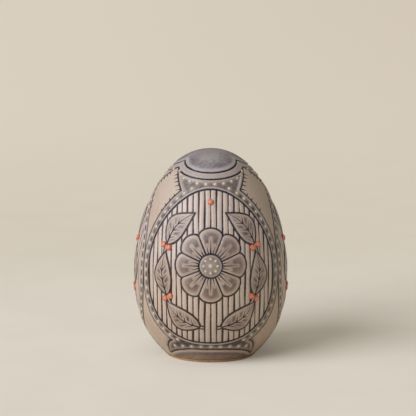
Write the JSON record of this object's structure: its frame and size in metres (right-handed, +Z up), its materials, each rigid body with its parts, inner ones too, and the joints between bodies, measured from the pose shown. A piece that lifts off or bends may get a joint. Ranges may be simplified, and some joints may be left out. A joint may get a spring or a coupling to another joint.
{
  "type": "ceramic egg ornament",
  "caption": "Hollow ceramic egg that stands on its own flat foot, with oval relief medallions, pearl beading and a smooth crown.",
  "frame": {"origin": "middle of the foot, on the plane that the egg stands on", "axes": "+Z up along the egg's axis, -Y towards the middle of the front medallion, +X to its right"},
  "size_m": [0.0934, 0.0926, 0.125],
  "materials": {
    "stone_glaze": "satin",
    "crown_glaze": "satin",
    "ring_glaze": "satin",
    "mauve_glaze": "satin",
    "channel_glaze": "satin",
    "reed_glaze": "satin",
    "coral_glaze": "gloss",
    "bare_clay": "matte"
  },
  "bodies": {
    "root": {"egg_shell": "stone_glaze", "base_plate": "bare_clay", "foot_ring": "bare_clay", "crown_cap": "crown_glaze", "crown_ring": "ring_glaze", "inner_rim_front": "ring_glaze", "pearl_strip_left_front": "channel_glaze", "pearl_strip_right_front": "channel_glaze", "outer_rim_left_front": "ring_glaze", "outer_rim_right_front": "ring_glaze", "collar_front": "channel_glaze", "bracket_front": "channel_glaze", "foot_band_front": "mauve_glaze", "reeded_panel_front": "reed_glaze", "rosette_front": "mauve_glaze", "rosette_eye_front": "mauve_glaze", "laurel_left_front": "mauve_glaze", "laurel_right_front": "mauve_glaze", "top_berry_front": "coral_glaze", "inner_rim_right": "ring_glaze", "pearl_strip_left_right": "channel_glaze", "pearl_strip_right_right": "channel_glaze", "outer_rim_left_right": "ring_glaze", "outer_rim_right_right": "ring_glaze", "collar_right": "channel_glaze", "bracket_right": "channel_glaze", "foot_band_right": "mauve_glaze", "reeded_panel_right": "reed_glaze", "rosette_right": "mauve_glaze", "rosette_eye_right": "mauve_glaze", "laurel_left_right": "mauve_glaze", "laurel_right_right": "mauve_glaze", "top_berry_right": "coral_glaze", "inner_rim_left": "ring_glaze", "pearl_strip_left_left": "channel_glaze", "pearl_strip_right_left": "channel_glaze", "outer_rim_left_left": "ring_glaze", "outer_rim_right_left": "ring_glaze", "collar_left": "channel_glaze", "bracket_left": "channel_glaze", "foot_band_left": "mauve_glaze", "reeded_panel_left": "reed_glaze", "rosette_left": "mauve_glaze", "rosette_eye_left": "mauve_glaze", "laurel_left_left": "mauve_glaze", "laurel_right_left": "mauve_glaze", "top_berry_left": "coral_glaze"}
  },
  "joints": []
}
